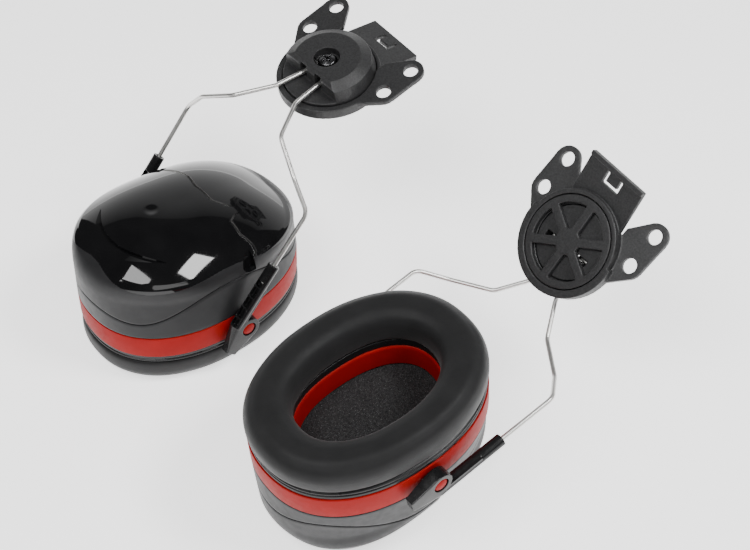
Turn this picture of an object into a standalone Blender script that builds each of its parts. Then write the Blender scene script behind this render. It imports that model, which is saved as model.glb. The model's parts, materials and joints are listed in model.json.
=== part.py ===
"""Helmet-mounted earmuff hearing protector: two ear cups, each on a two-wire arm with a slotted adapter.

Each unit is modelled once, in nested frames that follow how it moves:
  cup frame    long axis +Y towards the helmet adapter, dome +Z, cushion resting on Z = 0
  yoke frame   origin on the cup's pivot pins, +Y along the stems and wires
  rotor frame  origin on the rotor's screw axis, +Z out of the helmet side, +Y towards the blade
The left unit stands on its cushion. The right unit lies on its dome.
Sizes are in millimetres and angles in degrees, turned into metres and radians where a mesh is made.
"""

import math

import bmesh
import bpy
from mathutils import Matrix, Vector

MM = 0.001
GAP = 0.3  # clearance between pieces that rest on each other
SHARP_ANGLE = 35  # edges that bend by more are shaded sharp

# The pair: where the right unit lies from the left one, and how each is posed at rest.
RIGHT_OFFSET_X = 122.4
RIGHT_OFFSET_Y = 0.1
RIGHT_YAW = -1.5
RIGHT_ROCK = -4.9
LEFT_POSE = {"arm": 48.0, "hub": (105.5, -12.5), "swing": -39.0, "swivel": -2.0}
RIGHT_POSE = {"arm": -8.1, "hub": (107.6, -6.0), "swing": -34.5, "swivel": 2.5}

# Cup outline: half length, half width, squareness, height.
RING_POINTS = 36
BAND = (50.3, 38.5, 2.22)
BAND_LOW, BAND_HIGH = 17.9, 29.4
SHELL_STATIONS = (
    (29.4, 50.3, 38.5, 2.22),
    (45.0, 50.9, 36.9, 2.05),
    (49.6, 49.9, 36.5, 2.2),
    (53.2, 47.2, 35.4, 2.45),
    (55.3, 43.8, 33.8, 2.6),
)
DOME_TOP = 67.5
DOME_SLOPE = -0.13  # the dome is fuller at the end away from the adapter
WALL = 2.4
WAVE_MEAN, WAVE_TWO, WAVE_FOUR = 40.6, 4.8, 3.6  # parting line round the shell

# Ear opening and pads.
EAR_HALF_LENGTH, EAR_HALF_WIDTH, EAR_SQUARENESS = 31.8, 19.8, 2.27
PLATE_LOW, PLATE_HIGH = 13.8, 17.6
SKIN = 1.2
LINER_LOW, LINER_HIGH = 28.6, 39.0

# Pivot, stems and wires.
PIVOT_HEIGHT = 24.4
PIN_RADIUS, PIN_END = 3.05, 45.0
EYE_RADIUS, EYE_HOLE = 5.4, 3.4
STEM_X, STEM_Z, STEM_RADIUS = 42.4, 6.4, 2.6
STEM_INNER, STEM_OUTER = 39.4, 44.8
CHANNEL_START, CHANNEL_END, STEM_TOP = -0.6, 22.8, 31.2
CHANNEL_HALF_WIDTH = 1.75
RIB_PITCH, RIB_COUNT, RIB_WIDTH = 5.35, 4, 0.8
SHOE_END = -14.0
WIRE_RADIUS, WIRE_BORE = 1.0, 1.3
WIRE_START = 22.0
WIRE_BENDS = ((42.6, 57.8, 6.4), (32.9, 67.1, 13.2), (16.6, 77.4, 15.2))
WIRE_LAST_BEND = (7.0, -23.3, 4.9)  # in the rotor frame, just clear of the plate's flange
WIRE_BEND_RADIUS = 6.0
WIRE_PIN_X, WIRE_PIN_END = 4.4, 10.8
WIRE_PIN_Y, WIRE_PIN_Z = -3.0, 4.2

# Rotor: cap in front of the plate's web, retainer behind it.
CAP_RADIUS, CAP_TOP = 20.2, 10.0
LEDGE_Y, LEDGE_Z = -9.7, 2.4
SPIGOT_RADIUS, SPIGOT_LOW = 15.6, -1.2
RETAINER_RADIUS, RETAINER_LOW, RETAINER_HIGH = 19.5, -3.7, -1.5
SPOKES, SPOKE_WIDTH = 6, 3.8
WINDOW_RADIUS, HUB_RADIUS = 16.4, 6.4
PLAY = 0.4  # radial clearance of parts that turn in each other
COUNTERBORE_RADIUS, COUNTERBORE_LOW = 5.7, 6.2
SCREW_HEAD_RADIUS, SCREW_SHANK_RADIUS = 4.2, 1.5

# Adapter plate.
RING_RADIUS, FLANGE_RADIUS, RING_TOP = 22.0, 23.2, 1.3
FLANGE_END_Y = 3.0
EAR_TIP, EAR_FOOT = (26.4, 24.1), (26.4, 9.2)
EAR_TIP_RADIUS, EAR_FOOT_RADIUS, EAR_HOLE_RADIUS = 5.9, 5.6, 3.2
EAR_THICKNESS, EAR_TILT = 2.2, 7.3
EAR_ROOT = ((21.6, -4.0), (15.0, 0.0), (15.0, 19.5))  # where the ear runs into the ring
BLADE_WIDTH, BLADE_START, BLADE_LENGTH = 29.6, 17.5, 18.8
BLADE_THICKNESS, BLADE_TILT = 2.0, -13.5
BLADE_ROOT = 12.0  # inside the ring, where the blade starts
BLADE_LIP_WIDTH, BLADE_LIP_DEPTH = 1.8, 0.9
TONGUE_WIDTH, TONGUE_LENGTH, TONGUE_SLOT = 9.0, 5.4, 1.5
TONGUE_MARGIN = 2.9  # from the blade's end to the tongue's root

COLOURS = {
    "gloss_black": ((0.012, 0.012, 0.013), 0.06, 0.0),
    "satin_black": ((0.035, 0.035, 0.037), 0.42, 0.0),
    "red": ((0.40, 0.022, 0.018), 0.45, 0.0),
    "soft_black": ((0.03, 0.03, 0.032), 0.5, 0.0),
    "foam": ((0.015, 0.015, 0.016), 0.95, 0.0),
    "nylon": ((0.02, 0.02, 0.021), 0.55, 0.0),
    "steel": ((0.62, 0.61, 0.59), 0.25, 1.0),
    "black_steel": ((0.12, 0.12, 0.125), 0.3, 1.0),
}


# --- scene and object helpers -------------------------------------------------------------------


def clear_scene():
    for obj in list(bpy.data.objects):
        bpy.data.objects.remove(obj, do_unlink=True)


def make_collection(name):
    collection = bpy.data.collections.new(name)
    bpy.context.scene.collection.children.link(collection)
    return collection


def make_materials():
    made = {}
    for name, (colour, roughness, metallic) in COLOURS.items():
        material = bpy.data.materials.new(name)
        material.use_nodes = True
        shader = material.node_tree.nodes["Principled BSDF"]
        shader.inputs["Base Color"].default_value = (*colour, 1.0)
        shader.inputs["Roughness"].default_value = roughness
        shader.inputs["Metallic"].default_value = metallic
        made[name] = material
    return made


def empty(name, parent, matrix):
    frame = bpy.data.objects.new(name, None)
    PARTS.objects.link(frame)
    frame.parent = parent
    frame.matrix_local = matrix
    return frame


def place(name, bm, frame, material=None):
    """A finished bmesh becomes an object in its frame: a piece with a material, or a helper without one."""
    bmesh.ops.recalc_face_normals(bm, faces=bm.faces)
    mesh = bpy.data.meshes.new(name)
    bm.to_mesh(mesh)
    bm.free()
    obj = bpy.data.objects.new(name, mesh)
    obj.parent = frame
    if material:
        PARTS.objects.link(obj)
        mesh.materials.append(MATERIALS[material])
        mesh.shade_smooth()
        mesh.set_sharp_from_angle(angle=math.radians(SHARP_ANGLE))
    else:
        HELPERS.objects.link(obj)
        obj.hide_render = True
        obj.display_type = "WIRE"
    return obj


def combine(target, helper, operation):
    modifier = target.modifiers.new(helper.name, "BOOLEAN")
    modifier.operation = operation
    modifier.object = helper
    modifier.solver = "EXACT"


def cut(target, *helpers):
    for helper in helpers:
        combine(target, helper, "DIFFERENCE")


def join(target, *helpers):
    for helper in helpers:
        combine(target, helper, "UNION")


def box_mesh(low, high):
    """A box between two corners in millimetres."""
    bm = bmesh.new()
    size = [(b - a) * MM for a, b in zip(low, high)]
    middle = [(a + b) / 2 * MM for a, b in zip(low, high)]
    matrix = Matrix.Translation(middle) @ Matrix.Diagonal((*size, 1))
    bmesh.ops.create_cube(bm, size=1, matrix=matrix)
    return bm


def side_box(side, low, high):
    """A box given for the side at +X, mirrored in X for side -1."""
    near, far = sorted((side * low[0], side * high[0]))
    return box_mesh((near, *low[1:]), (far, *high[1:]))


def rod_mesh(radius, start, end, axis="Z", centre=(0, 0, 0), segments=32):
    """A cylinder from start to end along an axis through centre, in millimetres."""
    bm = bmesh.new()
    turn = {
        "X": Matrix.Rotation(math.pi / 2, 4, "Y"),
        "Y": Matrix.Rotation(-math.pi / 2, 4, "X"),
        "Z": Matrix(),
    }
    direction = {"X": Vector((1, 0, 0)), "Y": Vector((0, 1, 0)), "Z": Vector((0, 0, 1))}[axis]
    middle = (Vector(centre) + direction * (start + end) / 2) * MM
    bmesh.ops.create_cone(
        bm,
        cap_ends=True,
        segments=segments,
        radius1=radius * MM,
        radius2=radius * MM,
        depth=abs(end - start) * MM,
        matrix=Matrix.Translation(middle) @ turn[axis],
    )
    return bm


def hull_mesh(points):
    """The convex hull of points given in millimetres."""
    bm = bmesh.new()
    for point in points:
        bm.verts.new(Vector(point) * MM)
    made = bmesh.ops.convex_hull(bm, input=bm.verts)
    inside = set(made["geom_interior"]) | set(made["geom_unused"])
    loose = [vertex for vertex in bm.verts if vertex in inside or not vertex.link_faces]
    bmesh.ops.delete(bm, geom=loose, context="VERTS")
    return bm


def turned_mesh(profile, segments):
    """A solid of revolution about Z: profile is (radius, z) in millimetres, from the axis out and back."""
    bm = bmesh.new()
    rings = []
    for radius, z in profile:
        if radius == 0:
            rings.append([bm.verts.new((0, 0, z * MM))])
            continue
        turns = [2 * math.pi * i / segments for i in range(segments)]
        ring = [Vector((radius * math.cos(t), radius * math.sin(t), z)) * MM for t in turns]
        rings.append([bm.verts.new(point) for point in ring])
    for first, second in zip(rings, rings[1:]):
        for i in range(segments):
            j = (i + 1) % segments
            corners = [first[i % len(first)], first[j % len(first)]]
            corners += [second[j % len(second)], second[i % len(second)]]
            bm.faces.new(list(dict.fromkeys(corners)))
    return bm


def turn_x(degrees):
    return Matrix.Rotation(math.radians(degrees), 4, "X")


def turn_z(degrees):
    return Matrix.Rotation(math.radians(degrees), 4, "Z")


def circle(radius, segments, centre=(0.0, 0.0)):
    turns = [2 * math.pi * i / segments for i in range(segments)]
    return [(centre[0] + radius * math.cos(t), centre[1] + radius * math.sin(t)) for t in turns]


# --- cup outline --------------------------------------------------------------------------------


def oval_point(angle, half_length, half_width, squareness):
    """A point of the cup's squared oval, long along Y."""
    c, s = math.cos(angle), math.sin(angle)
    x = half_width * math.copysign(abs(c) ** (2 / squareness), c)
    y = half_length * math.copysign(abs(s) ** (2 / squareness), s)
    return x, y


def ring_angles():
    return [2 * math.pi * (i + 0.5) / RING_POINTS for i in range(RING_POINTS)]


def flat_ring(half_length, half_width, squareness, z):
    return [(*oval_point(t, half_length, half_width, squareness), z) for t in ring_angles()]


def shell_size(z):
    """Half length, half width and squareness of the hard shell at height z."""
    if z <= SHELL_STATIONS[0][0]:
        return SHELL_STATIONS[0][1:]
    for low, high in zip(SHELL_STATIONS, SHELL_STATIONS[1:]):
        if z <= high[0]:
            share = (z - low[0]) / (high[0] - low[0])
            return tuple(a + (b - a) * share for a, b in zip(low[1:], high[1:]))
    return SHELL_STATIONS[-1][1:]


def wave_height(angle):
    return WAVE_MEAN + WAVE_TWO * math.cos(2 * angle) + WAVE_FOUR * math.cos(4 * angle)


def lean(x, y, z):
    """The shell above the band leans, so that its dome is fuller away from the adapter."""
    share = min(1.0, max(0.0, (z - SHELL_STATIONS[0][0]) / (SHELL_STATIONS[-1][0] - SHELL_STATIONS[0][0])))
    return x, y, z + DOME_SLOPE * y * share


def shell_ring(height, inset=0.0):
    """A ring of the shell at height(angle), moved inwards by inset."""
    points = []
    for angle in ring_angles():
        z = height(angle)
        half_length, half_width, squareness = shell_size(z)
        x, y = oval_point(angle, half_length - inset, half_width - inset, squareness)
        points.append(lean(x, y, z))
    return points


def dome_ring(share, inset=0.0):
    """A ring of the dome: share 0 is its edge and 1 its crown."""
    z, half_length, half_width, squareness = SHELL_STATIONS[-1]
    left = 1 - share
    height = z + (DOME_TOP - z) * (1 - left * left) - inset
    rounder = squareness + (2 - squareness) * share
    size = (left * (half_length - inset), left * (half_width - inset), rounder)
    return [(x, y, height + DOME_SLOPE * y) for x, y, _ in flat_ring(*size, 0)]


def loft(rings, looped):
    """Skins rings of equal count. Looped rings close on themselves, others end in flat caps."""
    bm = bmesh.new()
    made = [[bm.verts.new(Vector(point) * MM) for point in ring] for ring in rings]
    pairs = list(zip(made, made[1:])) + ([(made[-1], made[0])] if looped else [])
    for first, second in pairs:
        for i in range(RING_POINTS):
            j = (i + 1) % RING_POINTS
            bm.faces.new((first[i], first[j], second[j], second[i]))
    if not looped:
        bm.faces.new(made[0])
        bm.faces.new(made[-1])
    return bm


# --- cup ----------------------------------------------------------------------------------------


def blended_ring(share, inset, drop=0.0):
    """A ring between the parting line (share 0) and the shoulder (share 1)."""
    shoulder = SHELL_STATIONS[2][0]
    return shell_ring(lambda t: (wave_height(t) - drop) * (1 - share) + shoulder * share, inset)


def make_outer_cap(unit, frame):
    """The dome and skirt, one shell down to the parting line, open below."""
    outside = [blended_ring(share, 0) for share in (0, 0.5, 1)]
    outside += [shell_ring(lambda _, z=station[0]: z) for station in SHELL_STATIONS[3:]]
    outside += [dome_ring(share) for share in (0.25, 0.5, 0.75, 0.93)]
    inside = [dome_ring(share, WALL) for share in (0.9, 0.6, 0.3, 0)]
    inside += [blended_ring(share, WALL) for share in (0.9, 0)]
    return place(unit + "_outer_cap", loft(outside[::-1] + inside[::-1], False), frame, "gloss_black")


def make_cup_shell(unit, frame):
    """The lower shell, from the red ring up to the parting line."""
    low = BAND_HIGH + GAP

    def between(share):
        return lambda t: low + (wave_height(t) - GAP - low) * share

    outside = [shell_ring(between(share)) for share in (0, 0.33, 0.66, 1)]
    inside = [shell_ring(between(share), WALL) for share in (1, 0.5, 0)]
    return place(unit + "_cup_shell", loft(outside + inside, True), frame, "satin_black")


def make_red_ring(unit, frame):
    """The band, the floor inwards from it, the wall round the ear opening and the two pivot pins."""
    half_length, half_width, squareness = BAND
    opening = (EAR_HALF_LENGTH, EAR_HALF_WIDTH, EAR_SQUARENESS)
    section = (
        (half_length, half_width, squareness, BAND_LOW),
        (half_length, half_width, squareness, BAND_HIGH),
        (half_length - 2.2, half_width - 2.2, squareness, BAND_HIGH),
        (half_length - 2.2, half_width - 2.2, squareness, BAND_LOW + 2.0),
        (opening[0] + 1.4, opening[1] + 1.4, opening[2], BAND_LOW + 2.0),
        (opening[0] + 0.7, opening[1] + 0.7, opening[2], LINER_LOW - 0.4),
        (opening[0] - 0.7, opening[1] - 0.7, opening[2], LINER_LOW - 0.4),
        (opening[0], opening[1], opening[2], BAND_LOW + 0.8),
        (opening[0] + 0.6, opening[1] + 0.6, opening[2], BAND_LOW),
    )
    ring = place(unit + "_red_ring", loft([flat_ring(*row) for row in section], True), frame, "red")
    for side in (1, -1):
        pin = rod_mesh(PIN_RADIUS, side * (half_width - 1.2), side * PIN_END, "X", (0, 0, PIVOT_HEIGHT), 24)
        join(ring, place(unit + "_pivot_pin_helper", pin, frame))
    return ring


def make_cushion(unit, frame):
    """The base plate with its fine ridges, the soft cover open at the back, and the foam inside it."""
    opening = (EAR_HALF_LENGTH + 0.6, EAR_HALF_WIDTH + 0.6, EAR_SQUARENESS)
    rim = (
        (49.0, 37.3, 2.2, PLATE_LOW),
        (49.8, 38.1, 2.2, PLATE_LOW + 0.5),
        (49.8, 38.1, 2.2, PLATE_LOW + 1.2),
        (49.2, 37.5, 2.2, PLATE_LOW + 1.5),
        (49.2, 37.5, 2.2, PLATE_LOW + 2.0),
        (49.8, 38.1, 2.2, PLATE_LOW + 2.3),
        (49.8, 38.1, 2.2, PLATE_HIGH),
        (*opening, PLATE_HIGH),
        (*opening, PLATE_LOW),
    )
    place(unit + "_cushion_plate", loft([flat_ring(*row) for row in rim], True), frame, "gloss_black")
    top = PLATE_LOW - GAP
    outside = (
        (48.6, 36.7, 2.2, top),
        (51.0, 38.4, 2.2, 10.0),
        (51.2, 38.4, 2.2, 6.2),
        (48.7, 36.7, 2.2, 2.0),
        (44.8, 33.2, 2.2, 0.0),
        (38.6, 27.4, 2.2, 0.0),
        (33.6, 22.8, 2.2, 1.2),
        (31.4, 20.7, 2.2, 4.4),
        (31.2, 20.3, 2.2, top),
    )
    inside = (
        (31.2 + SKIN, 20.3 + SKIN, 2.2, top),
        (31.4 + SKIN, 20.7 + SKIN, 2.2, 5.0),
        (38.8, 27.6, 2.2, SKIN),
        (44.4, 32.8, 2.2, SKIN),
        (51.2 - SKIN, 38.4 - SKIN, 2.2, 6.6),
        (48.6 - SKIN, 36.7 - SKIN, 2.2, top),
    )
    rings = [flat_ring(*row) for row in outside + inside]
    place(unit + "_cushion_cover", loft(rings, True), frame, "soft_black")
    foam = (
        (46.8, 34.8, 2.2, top - 0.4),
        (49.4, 36.6, 2.2, 7.2),
        (44.0, 32.4, 2.2, SKIN + 0.4),
        (39.2, 28.0, 2.2, SKIN + 0.4),
        (33.2, 22.6, 2.2, 5.6),
        (33.0, 22.2, 2.2, top - 0.4),
    )
    place(unit + "_cushion_foam", loft([flat_ring(*row) for row in foam], True), frame, "foam")


def make_liner(unit, frame):
    """The open-cell foam behind the ear opening."""
    rings = [flat_ring(45.0, 32.6, 2.2, z) for z in (LINER_LOW + 2.0, LINER_HIGH - 3.0)]
    rings.insert(0, flat_ring(44.0, 31.6, 2.2, LINER_LOW))
    rings.append(flat_ring(41.0, 28.6, 2.2, LINER_HIGH))
    place(unit + "_liner", loft(rings, False), frame, "foam")


# --- stems and wires ----------------------------------------------------------------------------


def make_stem(unit, name, side, frame):
    """One moulded arm: tube, ribbed channel, shoe and the eye on the cup's pin."""
    centre = (side * STEM_X, 0, STEM_Z)
    tube = rod_mesh(STEM_RADIUS, CHANNEL_START - 0.4, STEM_TOP, "Y", centre, 20)
    stem = place(f"{unit}_{name}_stem", tube, frame, "satin_black")
    lip = side_box(
        side,
        (STEM_X + 0.6, -1.0, STEM_Z - STEM_RADIUS + 0.3),
        (STEM_OUTER, CHANNEL_END - 3.0, STEM_Z + 0.4),
    )
    flank = [(side * x, y, z) for x in (STEM_INNER, STEM_OUTER) for y, z in circle(EYE_RADIUS, 24)]
    neck = circle(STEM_RADIUS - 0.1, 16)
    flank += [(side * (STEM_X + x), CHANNEL_START - 0.2, STEM_Z + z) for x, z in neck]
    flank += [(side * x, SHOE_END, z) for x in (STEM_X - 2.0, STEM_OUTER - 0.5) for z in (-2.0, 3.4)]
    join(
        stem,
        place(unit + "_stem_lip_helper", lip, frame),
        place(unit + "_shoe_helper", hull_mesh(flank), frame),
    )
    channel = side_box(
        side,
        (STEM_X - CHANNEL_HALF_WIDTH, CHANNEL_START, STEM_Z - 0.2),
        (STEM_X + CHANNEL_HALF_WIDTH, CHANNEL_END, STEM_Z + 4.0),
    )
    cut(stem, place(unit + "_channel_helper", channel, frame))
    for i in range(RIB_COUNT):
        middle = CHANNEL_START + (i + 0.75) * RIB_PITCH
        rib = side_box(
            side,
            (STEM_X - CHANNEL_HALF_WIDTH - 0.4, middle - RIB_WIDTH / 2, STEM_Z - 0.6),
            (STEM_X + CHANNEL_HALF_WIDTH + 0.2, middle + RIB_WIDTH / 2, STEM_Z + 1.9),
        )
        join(stem, place(unit + "_rib_helper", rib, frame))
    bore = rod_mesh(WIRE_BORE, CHANNEL_START + 0.2, STEM_TOP + 1, "Y", centre, 16)
    eye = rod_mesh(EYE_HOLE, side * (STEM_INNER - 1), side * (STEM_OUTER + 1), "X", (0, 0, 0), 24)
    cut(stem, place(unit + "_bore_helper", bore, frame), place(unit + "_eye_helper", eye, frame))


def rounded_route(points, radius, steps):
    """The points joined by straight runs, with each corner replaced by an arc of the radius."""
    route = [Vector(points[0])]
    for before, corner, after in zip(points, points[1:], points[2:]):
        corner = Vector(corner)
        back = (Vector(before) - corner).normalized()
        ahead = (Vector(after) - corner).normalized()
        half = back.angle(ahead) / 2
        reach = radius / math.tan(half)
        centre = corner + (back + ahead).normalized() * radius / math.sin(half)
        start = corner + back * reach - centre
        end = corner + ahead * reach - centre
        sweep = start.angle(end)
        for i in range(steps + 1):
            share = i / steps
            turned = start * math.sin((1 - share) * sweep) + end * math.sin(share * sweep)
            route.append(centre + turned / math.sin(sweep))
    return route + [Vector(points[-1])]


def rotor_to_yoke(pose, x, y, z):
    """A point of the rotor frame in the yoke frame, in millimetres."""
    swing = math.radians(pose["swing"])
    along = pose["hub"][0] + y * math.cos(swing) - z * math.sin(swing)
    return x, along, pose["hub"][1] + y * math.sin(swing) + z * math.cos(swing)


def make_wire(unit, name, side, frame, pose):
    """One spring wire from inside the stem to its outward-bent end in the rotor."""
    last_bend = rotor_to_yoke(pose, *WIRE_LAST_BEND)
    pin = rotor_to_yoke(pose, WIRE_PIN_X, WIRE_PIN_Y, WIRE_PIN_Z)
    inward = rounded_route([(STEM_X, WIRE_START, STEM_Z), *WIRE_BENDS, last_bend, pin], WIRE_BEND_RADIUS, 3)
    crank = rounded_route([inward[-2], pin, (WIRE_PIN_END, *pin[1:])], 1.6, 4)
    points = inward[:-1] + crank[1:]
    curve = bpy.data.curves.new(f"{unit}_{name}_wire", "CURVE")
    curve.dimensions = "3D"
    curve.bevel_depth = WIRE_RADIUS * MM
    curve.bevel_resolution = 2
    curve.use_fill_caps = True
    spline = curve.splines.new("POLY")
    spline.points.add(len(points) - 1)
    for spot, point in zip(spline.points, points):
        spot.co = (side * point.x * MM, point.y * MM, point.z * MM, 1)
    curve.materials.append(MATERIALS["steel"])
    wire = bpy.data.objects.new(curve.name, curve)
    PARTS.objects.link(wire)
    wire.parent = frame


# --- rotor --------------------------------------------------------------------------------------


def make_rotor_cap(unit, frame):
    """The boss in front of the plate: plateau, ledge, wire slots and the pockets for the wires' ends."""
    profile = (
        (0, SPIGOT_LOW),
        (SPIGOT_RADIUS, SPIGOT_LOW),
        (SPIGOT_RADIUS, 0.6),
        (CAP_RADIUS, 0.6),
        (CAP_RADIUS, 2.0),
        (18.9, 8.4),
        (17.9, CAP_TOP),
        (0, CAP_TOP),
    )
    cap = place(unit + "_rotor_cap", turned_mesh(profile, 40), frame, "nylon")
    ledge = box_mesh((-24, -24, LEDGE_Z), (24, LEDGE_Y, 12))
    edge = box_mesh((-24, -1.6, -1.6), (24, 1.6, 1.6))
    corner = Matrix.Translation(Vector((0, LEDGE_Y, CAP_TOP + 0.3)) * MM)
    bmesh.ops.transform(edge, matrix=corner @ turn_x(45), verts=edge.verts)
    cut(
        cap,
        place(unit + "_ledge_helper", ledge, frame),
        place(unit + "_ledge_edge_helper", edge, frame),
    )
    for side in (1, -1):
        slot = side_box(
            side,
            (WIRE_PIN_X - 1.5, LEDGE_Y - 1.0, LEDGE_Z + 0.2),
            (WIRE_PIN_X + 2.5, WIRE_PIN_Y + 0.5, 8.6),
        )
        pocket = side_box(
            side,
            (WIRE_PIN_X - 1.5, WIRE_PIN_Y - 1.5, SPIGOT_LOW - 1),
            (WIRE_PIN_END + 0.8, WIRE_PIN_Y + 1.5, WIRE_PIN_Z + 1.5),
        )
        cut(
            cap,
            place(unit + "_wire_slot_helper", slot, frame),
            place(unit + "_pin_pocket_helper", pocket, frame),
        )
    well = rod_mesh(COUNTERBORE_RADIUS, COUNTERBORE_LOW, CAP_TOP + 1, segments=28)
    shank = rod_mesh(SCREW_SHANK_RADIUS + PLAY, SPIGOT_LOW - 1, CAP_TOP, segments=16)
    cut(
        cap,
        place(unit + "_counterbore_helper", well, frame),
        place(unit + "_shank_hole_helper", shank, frame),
    )


def make_retainer(unit, frame):
    """The six-spoke disc that holds the rotor from behind."""
    blank = rod_mesh(RETAINER_RADIUS, RETAINER_LOW, RETAINER_HIGH, segments=40)
    disc = place(unit + "_rotor_retainer", blank, frame, "nylon")
    window = rod_mesh(WINDOW_RADIUS, RETAINER_LOW - 1, RETAINER_HIGH + 1, segments=40)
    hub = rod_mesh(HUB_RADIUS, RETAINER_LOW, RETAINER_HIGH, segments=SPOKES)
    reach = WINDOW_RADIUS + 1.1  # the spokes run into the rim
    cut(disc, place(unit + "_window_helper", window, frame))
    spokes = []
    for i in range(SPOKES // 2):
        bar = box_mesh((-reach, -SPOKE_WIDTH / 2, RETAINER_LOW), (reach, SPOKE_WIDTH / 2, RETAINER_HIGH))
        turn = Matrix.Rotation(math.pi / 2 + i * 2 * math.pi / SPOKES, 4, "Z")
        bmesh.ops.transform(bar, matrix=turn, verts=bar.verts)
        spokes.append(place(unit + "_spoke_helper", bar, frame))
    join(disc, *spokes, place(unit + "_hub_helper", hub, frame))
    bore = rod_mesh(SCREW_SHANK_RADIUS + PLAY, RETAINER_LOW + 0.7, RETAINER_HIGH + 1, segments=16)
    cut(disc, place(unit + "_screw_bore_helper", bore, frame))


def make_screw(unit, frame):
    """The pan-head screw with a cross recess."""
    profile = (
        (0, RETAINER_LOW + 1.1),
        (SCREW_SHANK_RADIUS, RETAINER_LOW + 1.1),
        (SCREW_SHANK_RADIUS, COUNTERBORE_LOW + 0.3),
        (SCREW_HEAD_RADIUS, COUNTERBORE_LOW + 0.3),
        (SCREW_HEAD_RADIUS, 7.6),
        (3.5, 8.7),
        (2.0, 9.3),
        (0, 9.5),
    )
    screw = place(unit + "_rotor_screw", turned_mesh(profile, 24), frame, "black_steel")
    for half_x, half_y in ((2.2, 0.45), (0.45, 2.2)):
        recess = box_mesh((-half_x, -half_y, 7.9), (half_x, half_y, 10.5))
        cut(screw, place(unit + "_recess_helper", recess, frame))


# --- adapter plate ------------------------------------------------------------------------------


def tilted(bm, degrees, pivot_y, z):
    """Turns a mesh about an X line at height 0 and Y = pivot_y, then lifts it to z."""
    turn = Matrix.Translation(Vector((0, pivot_y, z)) * MM) @ turn_x(degrees)
    bmesh.ops.transform(bm, matrix=turn @ Matrix.Translation((0, -pivot_y * MM, 0)), verts=bm.verts)
    return bm


def ear_mesh(side):
    half = EAR_THICKNESS / 2
    outline = circle(EAR_TIP_RADIUS, 24, (side * EAR_TIP[0], EAR_TIP[1]))
    outline += circle(EAR_FOOT_RADIUS, 24, (side * EAR_FOOT[0], EAR_FOOT[1]))
    outline += [(side * x, y) for x, y in EAR_ROOT]
    points = [(x, y, z) for x, y in outline for z in (-half, half)]
    return tilted(hull_mesh(points), EAR_TILT, 0, 0.25)


def blade_mesh(low, high):
    return tilted(box_mesh(low, high), BLADE_TILT, BLADE_START, -0.2)


def make_plate(unit, frame):
    """The ring round the rotor, two ears with two screw holes each, and the blade with its snap tongue."""
    low = RETAINER_LOW
    ring = rod_mesh(RING_RADIUS, low, RING_TOP, segments=48)
    plate = place(unit + "_adapter_plate", ring, frame, "nylon")
    flange = [(x, min(y, FLANGE_END_Y), z) for x, y in circle(FLANGE_RADIUS, 48) for z in (low, RING_TOP)]
    join(plate, place(unit + "_flange_helper", hull_mesh(flange), frame))
    for side in (1, -1):
        join(plate, place(unit + "_ear_helper", ear_mesh(side), frame))
    half, thick = BLADE_WIDTH / 2, BLADE_THICKNESS / 2
    end = BLADE_START + BLADE_LENGTH
    blade = blade_mesh((-half, BLADE_ROOT, -thick), (half, end, thick))
    rib = blade_mesh((-half, end - BLADE_LIP_WIDTH, -thick - BLADE_LIP_DEPTH), (half, end, thick))
    join(plate, place(unit + "_blade_helper", blade, frame), place(unit + "_blade_lip_helper", rib, frame))
    seat = rod_mesh(CAP_RADIUS + PLAY, GAP, RING_TOP + 6, segments=48)
    through = rod_mesh(SPIGOT_RADIUS + PLAY, low - 1, RING_TOP + 1, segments=48)
    pocket = rod_mesh(RETAINER_RADIUS + PLAY, low - 6, SPIGOT_LOW, segments=48)
    cut(
        plate,
        place(unit + "_seat_helper", seat, frame),
        place(unit + "_through_helper", through, frame),
        place(unit + "_pocket_helper", pocket, frame),
    )
    for side in (1, -1):
        for x, y in (EAR_TIP, EAR_FOOT):
            hole = rod_mesh(EAR_HOLE_RADIUS, -6, 10, "Z", (side * x, y, 0), 20)
            cut(plate, place(unit + "_ear_hole_helper", hole, frame))
    tongue_end = end - TONGUE_MARGIN
    outer = TONGUE_WIDTH / 2
    across = blade_mesh(
        (-outer, tongue_end - TONGUE_LENGTH, -4), (outer, tongue_end - TONGUE_LENGTH + TONGUE_SLOT, 4)
    )
    cut(plate, place(unit + "_tongue_slot_helper", across, frame))
    for side in (1, -1):
        near, far = sorted((side * (outer - TONGUE_SLOT), side * outer))
        leg = blade_mesh((near, tongue_end - TONGUE_LENGTH + 0.1, -4), (far, tongue_end, 4))
        cut(plate, place(unit + "_tongue_leg_helper", leg, frame))


# --- assembly -----------------------------------------------------------------------------------


def make_unit(unit, top, placement, pose):
    cup = empty(unit + "_cup", top, placement)
    make_outer_cap(unit, cup)
    make_cup_shell(unit, cup)
    make_red_ring(unit, cup)
    make_cushion(unit, cup)
    make_liner(unit, cup)
    yoke = empty(unit + "_yoke", cup, Matrix.Translation((0, 0, PIVOT_HEIGHT * MM)) @ turn_x(pose["arm"]))
    for name, side in (("front", 1), ("rear", -1)):
        make_stem(unit, name, side, yoke)
        make_wire(unit, name, side, yoke, pose)
    hub = Matrix.Translation((0, pose["hub"][0] * MM, pose["hub"][1] * MM))
    rotor = empty(unit + "_rotor", yoke, hub @ turn_x(pose["swing"]))
    make_rotor_cap(unit, rotor)
    make_retainer(unit, rotor)
    make_screw(unit, rotor)
    make_plate(unit, empty(unit + "_plate", rotor, turn_z(pose["swivel"])))


def world_box(objects):
    """Lowest and highest corners of the evaluated objects, in metres."""
    bpy.context.view_layer.update()
    graph = bpy.context.evaluated_depsgraph_get()
    points = []
    for obj in objects:
        evaluated = obj.evaluated_get(graph)
        mesh = evaluated.to_mesh()
        points += [evaluated.matrix_world @ vertex.co for vertex in mesh.vertices]
        evaluated.to_mesh_clear()
    return [min(p[i] for p in points) for i in range(3)], [max(p[i] for p in points) for i in range(3)]


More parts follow.
